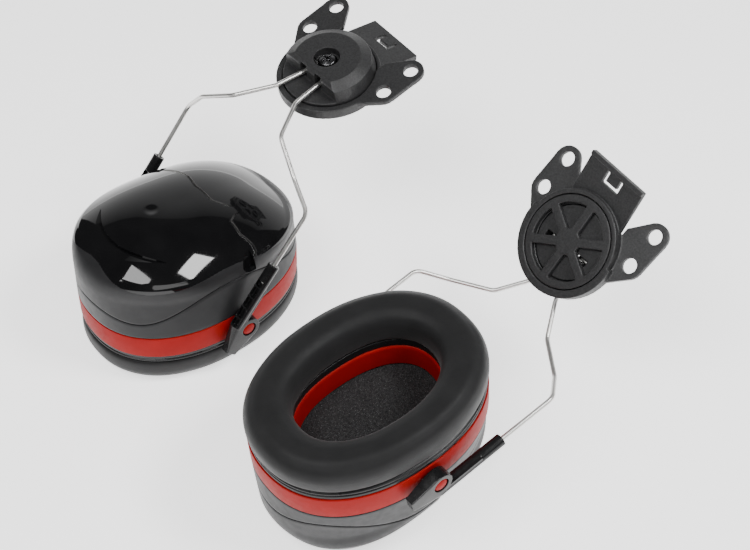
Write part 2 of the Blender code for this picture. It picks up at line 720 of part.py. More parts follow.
def build():
    top = empty("pair", None, Matrix())
    make_unit("left", top, Matrix(), LEFT_POSE)
    flipped = turn_z(180 + RIGHT_YAW) @ turn_x(RIGHT_ROCK) @ turn_x(180)
    make_unit("right", top, flipped, RIGHT_POSE)
    right = bpy.data.objects["right_cup"]
    dome_low, _ = world_box([bpy.data.objects["right_outer_cap"]])
    right.matrix_local = Matrix.Translation(
        (RIGHT_OFFSET_X * MM, RIGHT_OFFSET_Y * MM, -dome_low[2])
    ) @ flipped
    low, high = world_box([obj for obj in PARTS.objects if obj.type != "EMPTY"])
    top.location = (-(low[0] + high[0]) / 2, -(low[1] + high[1]) / 2, 0)


clear_scene()
PARTS = make_collection("earmuff_pair")
HELPERS = make_collection("helpers")
MATERIALS = make_materials()
build()
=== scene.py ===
"""Looks of the helmet-mounted earmuff pair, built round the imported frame.

Shapes are written in millimetres in the frames that follow the motion, as in the CAD model:
  cup frame    long axis +Y towards the adapter, dome +Z, cushion resting on Z = 0
  yoke frame   origin on the cup's pivot pins, +Y along the stems and wires
  rotor frame  origin on the rotor's screw axis, +Z out of the helmet side, +Y towards the blade
"""

import json
import math

import bmesh
import bpy
from mathutils import Matrix, Vector, noise


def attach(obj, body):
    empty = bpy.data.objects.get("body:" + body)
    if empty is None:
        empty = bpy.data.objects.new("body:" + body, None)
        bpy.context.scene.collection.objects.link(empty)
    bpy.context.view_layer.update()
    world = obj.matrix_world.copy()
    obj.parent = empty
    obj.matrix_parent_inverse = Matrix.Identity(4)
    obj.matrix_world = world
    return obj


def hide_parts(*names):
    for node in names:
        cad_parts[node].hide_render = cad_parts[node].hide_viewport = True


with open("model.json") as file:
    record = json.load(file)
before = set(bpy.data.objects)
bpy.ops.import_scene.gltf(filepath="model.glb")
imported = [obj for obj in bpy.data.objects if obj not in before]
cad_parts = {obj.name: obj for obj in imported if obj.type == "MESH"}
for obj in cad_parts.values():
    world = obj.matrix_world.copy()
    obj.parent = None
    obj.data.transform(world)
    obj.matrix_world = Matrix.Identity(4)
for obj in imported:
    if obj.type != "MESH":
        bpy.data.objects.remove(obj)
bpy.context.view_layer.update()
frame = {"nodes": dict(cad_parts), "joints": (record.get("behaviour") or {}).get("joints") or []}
JOINTS = {joint["name"]: joint for joint in frame["joints"]}
UNITS = ("left", "right")
SIDES = (("front", 1), ("rear", -1))
MM = 0.001

# Camera, measured from the left cup's centre.
CAMERA_AZIMUTH, CAMERA_ELEVATION, CAMERA_ROLL = 49.72, 48.47, 1.15
CAMERA_DISTANCE = 728.3
CAMERA_TARGET = (45.75, 67.0, 0.0)
CAMERA_LENS = 76.59
CAMERA_SHIFT = (0.0050, 0.0266)

# How the right cup lies on its dome, and how each adapter is swivelled.
RIGHT_YAW, RIGHT_ROCK = -1.5, -4.9
SWIVEL = {"left": -2.0, "right": 2.5}

# Cup outline above the red band: height, half length, half width, squareness.
SHELL_STATIONS = (
    (29.4, 50.3, 38.5, 2.22),
    (45.0, 50.9, 36.9, 2.05),
    (49.6, 49.9, 36.5, 2.2),
    (53.2, 47.2, 35.4, 2.45),
    (55.3, 43.8, 33.8, 2.6),
)
BAND_LOW, BAND_HIGH = 17.9, 29.4
DOME_TOP, DOME_SLOPE, DOME_FULLNESS = 67.5, -0.13, 2.6
GLOSS_EDGE, GLOSS_DIP, GLOSS_DIP_TURN = 55.1, 3.1, -1.1
WAVE_MEAN, WAVE_TWO, WAVE_FOUR = 40.6, 4.8, 3.6
WALL = 3.2
EAR_OPENING = (31.8, 19.8, 2.27)
PLATE_LOW, PLATE_HIGH = 13.8, 17.6
LINER_LOW, LINER_HIGH = 28.6, 39.0
PIVOT_HEIGHT = 24.4
PIN_RADIUS, PIN_ROOT, PIN_END, PIN_CROWN = 3.05, 36.6, 45.0, 0.9
GAP = 0.3

# Marks on the dome: gate dimple, crescent scoop and half-moon notch.
DIMPLE, DIMPLE_RADIUS, DIMPLE_DEPTH = (-2.2, -13.8), 3.5, 0.5
SCOOP_ENDS, SCOOP_DEPTH = (-19.6, 22.8), 1.5
NOTCH_Y, NOTCH_Z, NOTCH_LENGTH, NOTCH_HALF_HEIGHT, NOTCH_DEPTH = 11.4, 51.6, 6.4, 4.2, 2.6
NOTCH_OUTSIDE = 44.0

# Rotor cap: its top's height, and the chamfer round the top's edge.
CAP_TOP, CAP_TOP_RADIUS, CAP_CHAMFER, CAP_CHAMFER_DROP = 10.0, 17.9, 3.4, 1.9
CHAMFER_CLEAR = 3.0  # how far its cutter stands clear of the cap

# Spring wires, as in the CAD model.
STEM_X, STEM_Z, WIRE_START, WIRE_RADIUS = 42.4, 6.4, 22.0, 1.0
WIRE_BENDS = ((42.6, 57.8, 6.4), (32.9, 67.1, 13.2), (16.6, 77.4, 15.2))
WIRE_LAST_BEND = (7.0, -23.3, 4.9)
WIRE_PIN = (4.4, -3.0, 4.2)
WIRE_PIN_END = 10.8
WIRE_BEND_RADIUS, WIRE_CRANK_RADIUS = 6.0, 1.6

AROUND = 180  # points round a cup
PIN_POINTS, CHAMFER_POINTS = 48, 96

# The crescent scoop's arcs: how far along the cup each one's middle is, and how it curves. The inner
# arc's middle is a little to one side.
SCOOP_INNER, SCOOP_INNER_CURVE, SCOOP_INNER_X = -34.8, 0.0201, -1
SCOOP_OUTER, SCOOP_OUTER_CURVE = -40.4, 0.032
SCOOP_CLEAR = 3.0  # how far the cutter stands over the dome

# Liner foam: half length and width of its face and its body, and how rough the face is.
LINER_FACE, LINER_BODY = (44.0, 31.6), (45.0, 32.6)
LINER_GRAIN, LINER_LIFT, LINER_ROUGHNESS = 1.3, 0.30, 0.26

# Cushion: size of the soft unevenness of its skin, and how far that stands out.
SOFT_SIZE, SOFT_DEPTH = 16.0, 0.18

# Voxel sizes for softening the CAD nodes' edges, and the share of faces kept after it.
STEM_VOXEL, ROTOR_VOXEL, SCREW_VOXEL, PLATE_VOXEL = 0.2, 0.22, 0.12, 0.25
SOFTENED_KEEP, SMOOTHING_STEPS, SMOOTHING = 0.3, 3, 0.5

# Angles over which an edge stays sharp.
SHARP, SHARP_CAP, ALL_SMOOTH = 40, 35, 180

# Studio: how bright the room and the floor are, and the floor's size and place.
ROOM_GLOW, FLOOR_GLOW = 0.06, 1.5
FLOOR_HALF, FLOOR_DROP = 3.0, 0.0002  # metres
BACKDROP_FADE = 0.1  # what is left of the backdrop's light at its upper edge
CUP_MIDDLE = 0.06  # metres over the left cup's rest, where the key and the window point
# Soft boxes: azimuth, elevation, distance and size in metres, power.
KEY = (122, 52, 0.9, (0.27, 0.24), 5.0)
WINDOW = (14, 62, 0.9, (0.46, 0.36), 5.5)
FRONT = (75, 34, 1.1, (0.7, 0.35), 2.0)
BACKDROP = (-135, 24, 1.4, (3.0, 1.4), 20.0)


# --- frames -------------------------------------------------------------------------------------


def turn_x(degrees):
    return Matrix.Rotation(math.radians(degrees), 4, "X")


def turn_z(degrees):
    return Matrix.Rotation(math.radians(degrees), 4, "Z")


def frame_of(origin, x_axis, y_axis):
    """A frame from its origin and two square axes."""
    x, y = Vector(x_axis).normalized(), Vector(y_axis).normalized()
    matrix = Matrix((x, y, x.cross(y))).transposed().to_4x4()
    matrix.translation = Vector(origin)
    return matrix


def unit_frames(unit):
    """The cup, yoke, rotor and plate frames of a unit at rest."""
    tilt, height, swivel = (JOINTS[f"{unit}_{name}"] for name in ("tilt", "height", "swivel"))
    turned = Matrix() if unit == "left" else turn_z(180 + RIGHT_YAW) @ turn_x(180 + RIGHT_ROCK)
    pivot_down = Matrix.Translation((0, 0, -PIVOT_HEIGHT * MM))
    cup = Matrix.Translation(Vector(tilt["pos_m"])) @ turned @ pivot_down
    rotor_y = Vector(swivel["axis"]).cross(Vector(tilt["axis"]))
    rotor = frame_of(swivel["pos_m"], tilt["axis"], rotor_y)
    return {
        "cup": cup,
        "yoke": frame_of(tilt["pos_m"], tilt["axis"], height["axis"]),
        "rotor": rotor,
        "plate": rotor @ turn_z(SWIVEL[unit]),
    }


FRAMES = {unit: unit_frames(unit) for unit in UNITS}


# --- materials ----------------------------------------------------------------------------------


class Finish:
    """A Principled material with helpers for its procedural detail, in object space."""

    def __init__(self, name, metallic=0.0, specular=0.5):
        self.name = name
        self.material = bpy.data.materials.new(name + "_finish")
        self.material.use_nodes = True
        self.tree = self.material.node_tree
        self.shader = self.tree.nodes["Principled BSDF"]
        self.shader.inputs["Metallic"].default_value = metallic
        self.shader.inputs["Specular IOR Level"].default_value = specular
        self.place = self.tree.nodes.new("ShaderNodeTexCoord").outputs["Object"]
        self.bumped = None

    def stretched(self, scale):
        """Object coordinates scaled by axis, for texture that runs along the part."""
        mapping = self.tree.nodes.new("ShaderNodeMapping")
        mapping.inputs["Scale"].default_value = scale
        self.tree.links.new(self.place, mapping.inputs["Vector"])
        return mapping.outputs["Vector"]

    def noise(self, size_mm, detail=3.0, place=None):
        node = self.tree.nodes.new("ShaderNodeTexNoise")
        node.inputs["Scale"].default_value = 1 / (size_mm * MM)
        node.inputs["Detail"].default_value = detail
        self.tree.links.new(place or self.place, node.inputs["Vector"])
        return node.outputs["Fac"]

    def cells(self, size_mm):
        node = self.tree.nodes.new("ShaderNodeTexVoronoi")
        node.inputs["Scale"].default_value = 1 / (size_mm * MM)
        self.tree.links.new(self.place, node.inputs["Vector"])
        return node.outputs["Distance"]

    def ramp(self, value, stops):
        node = self.tree.nodes.new("ShaderNodeValToRGB")
        band = node.color_ramp
        band.elements[0].position, band.elements[1].position = stops[0][0], stops[-1][0]
        band.elements[0].color, band.elements[1].color = (*stops[0][1], 1), (*stops[-1][1], 1)
        for position, colour in stops[1:-1]:
            band.elements.new(position).color = (*colour, 1)
        self.tree.links.new(value, node.inputs["Fac"])
        return node.outputs["Color"]

    def colour(self, value, stops):
        self.tree.links.new(self.ramp(value, stops), self.shader.inputs["Base Color"])
        return self

    def roughness(self, value, low, high):
        node = self.tree.nodes.new("ShaderNodeMapRange")
        node.inputs["From Min"].default_value, node.inputs["From Max"].default_value = 0.3, 0.7
        node.inputs["To Min"].default_value, node.inputs["To Max"].default_value = low, high
        self.tree.links.new(value, node.inputs["Value"])
        self.tree.links.new(node.outputs["Result"], self.shader.inputs["Roughness"])
        return self

    def bump(self, value, depth_mm):
        node = self.tree.nodes.new("ShaderNodeBump")
        node.inputs["Distance"].default_value = depth_mm * MM
        node.inputs["Strength"].default_value = 1.0
        self.tree.links.new(value, node.inputs["Height"])
        if self.bumped:
            self.tree.links.new(self.bumped, node.inputs["Normal"])
        self.bumped = node.outputs["Normal"]
        self.tree.links.new(self.bumped, self.shader.inputs["Normal"])
        return self


def make_finishes():
    """Every material, by the name of its slot."""
    gloss = Finish("gloss_shell")
    gloss.colour(gloss.noise(14), [(0.3, (0.004, 0.004, 0.0045)), (0.7, (0.007, 0.007, 0.0075))])
    gloss.roughness(gloss.noise(6), 0.035, 0.07).bump(gloss.noise(9, 1), 0.012)

    satin = Finish("satin_shell", specular=0.22)
    satin.colour(satin.noise(9), [(0.3, (0.016, 0.016, 0.017)), (0.7, (0.021, 0.021, 0.022))])
    satin.roughness(satin.noise(3), 0.36, 0.46).bump(satin.noise(0.35), 0.018)

    red = Finish("red_plastic", specular=0.08)
    red.colour(red.noise(6), [(0.3, (0.29, 0.004, 0.003)), (0.7, (0.33, 0.006, 0.005))])
    red.roughness(red.noise(2), 0.40, 0.50).bump(red.noise(0.3), 0.02)

    rim = Finish("rim", specular=0.3)
    rim.colour(rim.noise(8), [(0.3, (0.008, 0.008, 0.0085)), (0.7, (0.012, 0.012, 0.0125))])
    rim.roughness(rim.noise(3), 0.26, 0.34).bump(rim.noise(0.5), 0.008)

    skin = Finish("cushion_skin", specular=0.14)
    skin.shader.inputs["Sheen Weight"].default_value = 0.12
    skin.shader.inputs["Sheen Roughness"].default_value = 0.5
    skin.colour(skin.noise(12), [(0.3, (0.013, 0.013, 0.0135)), (0.7, (0.017, 0.017, 0.0175))])
    skin.roughness(skin.noise(4), 0.46, 0.54)
    skin.bump(skin.noise(5, 2), 0.12).bump(skin.cells(0.45), 0.02)

    foam = Finish("liner_foam")
    # The white speckles at the cells' middles are painted highlights: bright base colour standing in for
    # glints of light on the foam.
    foam.colour(
        foam.cells(0.55),
        [(0.05, (0.38, 0.38, 0.38)), (0.13, (0.030, 0.030, 0.031)), (0.6, (0.006, 0.006, 0.0065))],
    )
    foam.roughness(foam.noise(1.2), 0.5, 1.0).bump(foam.noise(0.8, 5), 0.6).bump(foam.cells(0.7), 0.4)

    stem = Finish("stem", specular=0.3)
    stem.colour(stem.noise(5), [(0.3, (0.007, 0.007, 0.0075)), (0.7, (0.011, 0.011, 0.0115))])
    stem.roughness(stem.noise(2), 0.17, 0.27).bump(stem.noise(0.6), 0.01)

    steel = Finish("spring_steel", metallic=1.0)
    drawn = steel.noise(1.2, 2, steel.stretched((1.0, 0.15, 1.0)))
    steel.colour(drawn, [(0.3, (0.70, 0.69, 0.67)), (0.7, (0.76, 0.75, 0.73))])
    steel.roughness(drawn, 0.34, 0.42).bump(drawn, 0.0004)

    nylon = Finish("nylon")
    nylon.colour(nylon.noise(0.7, 6), [(0.3, (0.013, 0.013, 0.0135)), (0.7, (0.034, 0.034, 0.035))])
    nylon.roughness(nylon.noise(0.9), 0.38, 0.56).bump(nylon.noise(0.4, 3), 0.035)

    screw = Finish("screw_steel", metallic=1.0)
    screw.colour(screw.noise(1.0), [(0.3, (0.11, 0.11, 0.115)), (0.7, (0.17, 0.17, 0.175))])
    screw.roughness(screw.noise(0.7), 0.18, 0.32).bump(screw.noise(0.3), 0.006)

    made = (gloss, satin, red, rim, skin, foam, stem, steel, nylon, screw)
    return {finish.name: finish.material for finish in made}


FINISHES = make_finishes()


# --- mesh helpers -------------------------------------------------------------------------------


def piece(name, bm, place, body, node, finish, smooth_angle=SHARP):
    """A finished bmesh in metres becomes a piece that rides on a body and stands for a CAD node."""
    bmesh.ops.recalc_face_normals(bm, faces=bm.faces)
    mesh = bpy.data.meshes.new(name)
    bm.to_mesh(mesh)
    bm.free()
    mesh.shade_smooth()
    mesh.set_sharp_from_angle(angle=math.radians(smooth_angle))
    obj = bpy.data.objects.new(name, mesh)
    bpy.context.scene.collection.objects.link(obj)
    mesh.materials.append(FINISHES[finish])
    obj.matrix_world = place
    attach(obj, body)
    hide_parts(node)
    return obj


def apply_modifiers(obj):
    """The object's evaluated mesh takes the place of its mesh and modifiers."""
    graph = bpy.context.evaluated_depsgraph_get()
    made = bpy.data.meshes.new_from_object(obj.evaluated_get(graph))
    obj.modifiers.clear()
    obj.data = made


def loft(rings, closed_profile, pole=None):
    """Skins rings of points in millimetres. A closed profile joins the last ring to the first."""
    bm = bmesh.new()
    made = [[bm.verts.new(Vector(point) * MM) for point in ring] for ring in rings]
    pairs = list(zip(made, made[1:])) + ([(made[-1], made[0])] if closed_profile else [])
    for first, second in pairs:
        count = len(first)
        for i in range(count):
            j = (i + 1) % count
            bm.faces.new((first[i], first[j], second[j], second[i]))
    if pole:
        tip = bm.verts.new(Vector(pole) * MM)
        last = made[-1]
        for i, vertex in enumerate(last):
            bm.faces.new((vertex, last[(i + 1) % len(last)], tip))
    return bm


def oval(angle, half_length, half_width, squareness):
    """A point of a superellipse: squareness 2 is an ellipse, and more is squarer."""
    c, s = math.cos(angle), math.sin(angle)
    x = half_width * math.copysign(abs(c) ** (2 / squareness), c)
    y = half_length * math.copysign(abs(s) ** (2 / squareness), s)
    return x, y


def angles():
    """The directions of a ring's points, clear of the axes."""
    return [2 * math.pi * (i + 0.5) / AROUND for i in range(AROUND)]


def flat_ring(half_length, half_width, squareness, z):
    return [(*oval(t, half_length, half_width, squareness), z) for t in angles()]


def rounded_rows(rows, radius, steps=4):
    """A closed profile of (half length, half width, squareness, z) rows with its corners rounded."""
    made = []
    for i, corner in enumerate(rows):
        sides = []
        for other in (rows[i - 1], rows[(i + 1) % len(rows)]):
            length = math.hypot(other[0] - corner[0], other[3] - corner[3]) or 1.0
            share = min(0.5, radius / length)
            sides.append([c + (o - c) * share for c, o in zip(corner, other)])
        for k in range(steps + 1):
            t = k / steps
            blends = zip(sides[0], corner, sides[1])
            made.append([(1 - t) ** 2 * a + 2 * t * (1 - t) * c + t * t * b for a, c, b in blends])
    return made


def ring_piece(name, rows, radius, place, body, node, finish):
    """An oval ring with the rows as its section."""
    rings = [flat_ring(*row) for row in rounded_rows(rows, radius)]
    piece(name, loft(rings, True), place, body, node, finish)


def circle(count):
    return [2 * math.pi * i / count for i in range(count)]


def spread(count, low=0.0, high=1.0):
    return [low + (high - low) * i / (count - 1) for i in range(count)]


# --- cup shell and dome -------------------------------------------------------------------------


def shell_size(z):
    """Half length, half width and squareness at height z, on a smooth curve through the stations."""
    rows = SHELL_STATIONS
    if z <= rows[0][0]:
        return rows[0][1:]
    if z >= rows[-1][0]:
        return rows[-1][1:]
    i = next(k for k in range(len(rows) - 1) if z <= rows[k + 1][0])
    before, low, high, after = rows[max(i - 1, 0)], rows[i], rows[i + 1], rows[min(i + 2, len(rows) - 1)]
    width = high[0] - low[0]
    t = (z - low[0]) / width
    size = []
    for k in (1, 2, 3):
        rise_low = (high[k] - before[k]) / (high[0] - before[0]) * width
        rise_high = (after[k] - low[k]) / (after[0] - low[0]) * width
        size.append(
            (2 * t**3 - 3 * t**2 + 1) * low[k]
            + (t**3 - 2 * t**2 + t) * rise_low
            + (3 * t**2 - 2 * t**3) * high[k]
            + (t**3 - t**2) * rise_high
        )
    return tuple(size)


def wave_height(angle):
    """Height of the parting line between the outer cap and the cup shell."""
    return WAVE_MEAN + WAVE_TWO * math.cos(2 * angle) + WAVE_FOUR * math.cos(4 * angle)


def lean(x, y, z):
    """The shell above the band leans, so that its dome is fuller away from the adapter."""
    low, high = SHELL_STATIONS[0][0], SHELL_STATIONS[-1][0]
    return x, y, z + DOME_SLOPE * y * min(1.0, max(0.0, (z - low) / (high - low)))


def shell_ring(height, inset=0.0):
    """A ring on the shell, at a height that depends on the direction."""
    points = []
    for angle in angles():
        z = height(angle)
        half_length, half_width, squareness = shell_size(z)
        points.append(lean(*oval(angle, half_length - inset, half_width - inset, squareness), z))
    return points


def dome_height(share):
    """Height of the dome at a share of the way from its edge to its middle."""
    low = SHELL_STATIONS[-1][0]
    return low + (DOME_TOP - low) * (1 - (1 - share) ** DOME_FULLNESS)


def dimple_drop(x, y):
    far = math.hypot(x - DIMPLE[0], y - DIMPLE[1]) / DIMPLE_RADIUS
    return DIMPLE_DEPTH * (1 - far * far) ** 2 if far < 1 else 0.0


def dome_ring(share, inset=0.0):
    """A ring on the dome, at a share of the way to its middle."""
    _, half_length, half_width, squareness = SHELL_STATIONS[-1]
    left = 1 - share
    rounder = squareness + (2 - squareness) * share
    points = []
    for angle in angles():
        x, y = oval(angle, left * (half_length - inset), left * (half_width - inset), rounder)
        points.append((x, y, dome_height(share) - inset + DOME_SLOPE * y - dimple_drop(x, y)))
    return points


def dome_surface(x, y):
    """Height of the dome over a point, found by halving."""
    _, half_length, half_width, squareness = SHELL_STATIONS[-1]
    low, high = 0.0, 0.999
    for _ in range(30):
        share = (low + high) / 2
        left, rounder = 1 - share, squareness + (2 - squareness) * share
        reach = (abs(x) / (left * half_width)) ** rounder + (abs(y) / (left * half_length)) ** rounder
        low, high = (low, share) if reach > 1 else (share, high)
    return dome_height(low) + DOME_SLOPE * y


def cutter(name, bm, place, painted_shade=False):
    """An object that cuts others. If asked, it leaves the second finish, the darker gloss, on the cut:
    painted shade in a recess.
    """
    bmesh.ops.recalc_face_normals(bm, faces=bm.faces)
    for face in bm.faces:
        # The second finish on the cut faces is the darker gloss, which paints shade into the recess.
        face.material_index = int(painted_shade)
    mesh = bpy.data.meshes.new(name)
    bm.to_mesh(mesh)
    bm.free()
    obj = bpy.data.objects.new(name, mesh)
    bpy.context.scene.collection.objects.link(obj)
    obj.matrix_world = place
    return obj


def cut_away(obj, tools):
    """Takes the tools' shapes off the object, and removes them."""
    for tool in tools:
        modifier = obj.modifiers.new("cut", "BOOLEAN")
        modifier.object = tool
        modifier.solver = "EXACT"
    bpy.context.view_layer.update()
    apply_modifiers(obj)
    for tool in tools:
        bpy.data.objects.remove(tool, do_unlink=True)


def prism(sections):
    """Joins sections of equal count and closes both ends. Points are in millimetres."""
    bm = loft(sections, False)
    bm.verts.ensure_lookup_table()
    count = len(sections[0])
    bm.faces.new(bm.verts[:count])
    bm.faces.new(bm.verts[-count:])
    return bm


def scoop_mesh():
    """The crescent near the dome's far end: deepest at its inner arc, running out at the outer one."""
    start, end = SCOOP_ENDS
    steps, thin, least = 60, 0.02, 0.05
    sections = []
    for i in range(steps + 1):
        x = start + (end - start) * i / steps
        inner = SCOOP_INNER + SCOOP_INNER_CURVE * (x - SCOOP_INNER_X) ** 2
        outer = min(inner - least, SCOOP_OUTER + SCOOP_OUTER_CURVE * x * x)
        deep = SCOOP_DEPTH * math.sqrt(max(0.0, 1 - ((2 * i / steps) - 1) ** 2)) + thin
        high = dome_surface(x, inner)
        sections.append(
            [
                (x, inner, high + SCOOP_CLEAR),
                (x, inner, high - deep),
                (x, outer, dome_surface(x, outer) - thin),
                (x, outer, high + SCOOP_CLEAR),
            ]
        )
    return prism(sections)


def notch_mesh(side):
    """The half-moon notch in the skirt: straight towards the adapter, round away from it."""
    inner, outer = [], []
    for turn in spread(25, -math.pi / 2, math.pi / 2):
        y = NOTCH_Y - NOTCH_LENGTH * math.cos(turn)
        z = NOTCH_Z + NOTCH_HALF_HEIGHT * math.sin(turn)
        _, half_width, _ = shell_size(z + 1)
        inner.append((side * (half_width - NOTCH_DEPTH), y, z))
        outer.append((side * NOTCH_OUTSIDE, y, z))
    return prism([inner, outer])


def is_polished(point):
    """The polished dome starts along a line that dips at the cup's corners."""
    x, y, z = point
    _, half_length, half_width, _ = SHELL_STATIONS[-1]
    turn = math.atan2(y / half_length, x / half_width)
    dip = (GLOSS_DIP + GLOSS_DIP_TURN * math.sin(turn)) * math.sin(2 * turn) ** 2
    return z - DOME_SLOPE * y > GLOSS_EDGE - dip


def make_outer_cap(unit):
    """The polished dome and the satin skirt under it, down to the wavy parting line."""
    place = FRAMES[unit]["cup"]
    shoulder = SHELL_STATIONS[2][0]

    def between(share, rise):
        return lambda t: (wave_height(t) + rise) * (1 - share) + shoulder * share

    rounds = ((0.55, 0.0), (0.2, 0.1), (0.0, 0.45))
    edge = [shell_ring(between(0, rise), inset) for inset, rise in rounds]
    skirt = edge + [shell_ring(between(share, 0.45)) for share in spread(24)[1:]]
    skirt += [shell_ring(lambda _, z=z: z) for z in spread(30, shoulder, SHELL_STATIONS[-1][0])[1:]]
    dome = [dome_ring(share) for share in spread(90, 0.012, 0.985)]
    outside = skirt + dome
    inside = [dome_ring(share, WALL) for share in (0.9, 0.6, 0.3, 0)]
    inside += [shell_ring(between(share, 0.0), WALL) for share in (0.9, 0)]
    bm = loft(outside, False, pole=(0, 0, DOME_TOP))
    lining = loft(inside[::-1], False, pole=(0, 0, DOME_TOP - WALL))
    lining_mesh = bpy.data.meshes.new("lining")
    lining.to_mesh(lining_mesh)
    lining.free()
    bm.from_mesh(lining_mesh)
    bpy.data.meshes.remove(lining_mesh)
    open_edges = [e for e in bm.edges if e.is_boundary]
    bmesh.ops.bridge_loops(bm, edges=open_edges)
    cap = piece(unit + "_outer_cap_look", bm, place, "cups", unit + "_outer_cap", "satin_shell")
    cap.data.materials.append(FINISHES["gloss_shell"])
    tools = [cutter("scoop", scoop_mesh(), place)]
    # The notch's cut faces take the dome's darker gloss finish: painted shade in the half-moon recess.
    tools += [cutter("notch", notch_mesh(side), place, painted_shade=True) for _, side in SIDES]
    cut_away(cap, tools)
    for polygon in cap.data.polygons:
        if is_polished(polygon.center / MM):
            polygon.material_index = 1
    cap.data.shade_smooth()
    cap.data.set_sharp_from_angle(angle=math.radians(SHARP_CAP))


def make_cup_shell(unit):
    """The satin shell between the red band and the parting line, with small rounds on its edges."""
    low = BAND_HIGH + GAP

    def between(share, rise=0.0, drop=0.0):
        return lambda t: low + rise + (wave_height(t) - GAP - drop - low - rise) * share

    outside = [shell_ring(between(0), 0.5), shell_ring(between(0, 0.2), 0.1)]
    outside += [shell_ring(between(share, 0.5, 0.5)) for share in spread(12)]
    outside += [shell_ring(between(1, drop=0.12), 0.2), shell_ring(between(1), 0.55)]
    inside = [shell_ring(between(share), WALL) for share in (1, 0.5, 0)]
    bm = loft(outside + inside, True)
    piece(unit + "_cup_shell_look", bm, FRAMES[unit]["cup"], "cups", unit + "_cup_shell", "satin_shell")


def make_red_ring(unit):
    """The band, the floor inwards from it, the wall round the ear opening, and the two domed pins."""
    length, width, square = EAR_OPENING
    rows = (
        (50.3, 38.5, 2.22, BAND_LOW),
        (50.3, 38.5, 2.22, BAND_HIGH),
        (48.1, 36.3, 2.22, BAND_HIGH),
        (48.1, 36.3, 2.22, BAND_LOW + 2.0),
        (length + 1.4, width + 1.4, square, BAND_LOW + 2.0),
        (length + 0.7, width + 0.7, square, LINER_LOW - 0.4),
        (length - 0.7, width - 0.7, square, LINER_LOW - 0.4),
        (length, width, square, BAND_LOW + 0.8),
        (length + 0.6, width + 0.6, square, BAND_LOW),
    )
    place = FRAMES[unit]["cup"]
    ring_piece(unit + "_red_band_look", rows, 0.45, place, "cups", unit + "_red_ring", "red_plastic")
    profile = [(PIN_RADIUS, PIN_ROOT), (PIN_RADIUS, PIN_END - PIN_CROWN)]
    for turn in spread(9, 0, math.pi / 2)[1:-1]:
        profile.append((PIN_RADIUS * math.cos(turn), PIN_END - PIN_CROWN + PIN_CROWN * math.sin(turn)))
    for name, side in SIDES:
        rings = []
        for r, x in profile:
            turns = circle(PIN_POINTS)
            rings.append([(side * x, r * math.cos(t), PIVOT_HEIGHT + r * math.sin(t)) for t in turns])
        bm = loft(rings, False, pole=(side * PIN_END, 0, PIVOT_HEIGHT))
        bm.faces.new(bm.verts[:][:PIN_POINTS])
        piece(f"{unit}_{name}_pin_look", bm, place, "cups", unit + "_red_ring", "red_plastic")


# --- cushion and liner --------------------------------------------------------------------------


def make_cushion(unit):
    """Glossy base rim with two fine ridges, and the soft skinned cushion on it."""
    place = FRAMES[unit]["cup"]
    length, width, square = EAR_OPENING
    rim = (
        (49.0, 37.3, 2.2, PLATE_LOW),
        (49.8, 38.1, 2.2, PLATE_LOW + 0.5),
        (49.8, 38.1, 2.2, PLATE_LOW + 1.2),
        (49.2, 37.5, 2.2, PLATE_LOW + 1.5),
        (49.2, 37.5, 2.2, PLATE_LOW + 2.0),
        (49.8, 38.1, 2.2, PLATE_LOW + 2.3),
        (49.8, 38.1, 2.2, PLATE_HIGH),
        (length + 0.6, width + 0.6, square, PLATE_HIGH),
        (length + 0.6, width + 0.6, square, PLATE_LOW),
    )
    ring_piece(unit + "_rim_look", rim, 0.25, place, "cups", unit + "_cushion_plate", "rim")
    top = PLATE_LOW - GAP
    section = (
        (49.0, 37.1, 2.2, top),
        (50.4, 38.1, 2.2, 12.4),
        (50.7, 38.3, 2.2, 9.0),
        (50.6, 38.0, 2.2, 5.8),
        (48.8, 36.6, 2.2, 2.6),
        (44.9, 33.2, 2.2, 0.15),
        (41.6, 30.2, 2.2, 0.0),
        (37.6, 26.4, 2.2, 0.2),
        (34.0, 23.1, 2.2, 1.9),
        (31.9, 21.1, 2.22, 5.0),
        (31.3, 20.4, 2.24, 9.0),
        (31.5, 20.4, 2.26, top),
    )
    bm = loft([flat_ring(*row) for row in rounded_rows(section, 1.6, 5)], True)
    for vertex in bm.verts:
        soft = noise.noise(vertex.co / (SOFT_SIZE * MM))
        outwards = Vector((vertex.co.x, vertex.co.y, 0)).normalized()
        vertex.co += outwards * soft * SOFT_DEPTH * MM
    name, node = unit + "_cushion_look", unit + "_cushion_cover"
    cover = piece(name, bm, place, "cups", node, "cushion_skin", ALL_SMOOTH)
    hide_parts(unit + "_cushion_foam")
    subdivide = cover.modifiers.new("soft", "SUBSURF")
    subdivide.levels = subdivide.render_levels = 1
    apply_modifiers(cover)


def make_liner(unit):
    """The open-cell foam behind the ear opening, with a rough face."""
    length, width = LINER_FACE
    face = [flat_ring(length * share, width * share, 2.2, LINER_LOW) for share in spread(34, 0.02, 1.0)]
    side = [
        flat_ring(*LINER_BODY, 2.2, LINER_LOW + 2.0),
        flat_ring(*LINER_BODY, 2.2, LINER_HIGH - 3.0),
        flat_ring(41.0, 28.6, 2.2, LINER_HIGH),
        flat_ring(2.0, 1.4, 2.0, LINER_HIGH),
    ]
    bm = loft(face + side, False)
    bm.faces.new(bm.verts[:][:AROUND])
    bm.faces.new(bm.verts[:][-AROUND:])
    for vertex in bm.verts:
        if vertex.co.z < (LINER_LOW + 0.1) * MM:
            rough = noise.noise(vertex.co / (LINER_GRAIN * MM))
            vertex.co.z += (LINER_LIFT + LINER_ROUGHNESS * rough) * MM
    place = FRAMES[unit]["cup"]
    piece(unit + "_liner_look", bm, place, "cups", unit + "_liner", "liner_foam", ALL_SMOOTH)


# --- hard parts with softened edges -------------------------------------------------------------


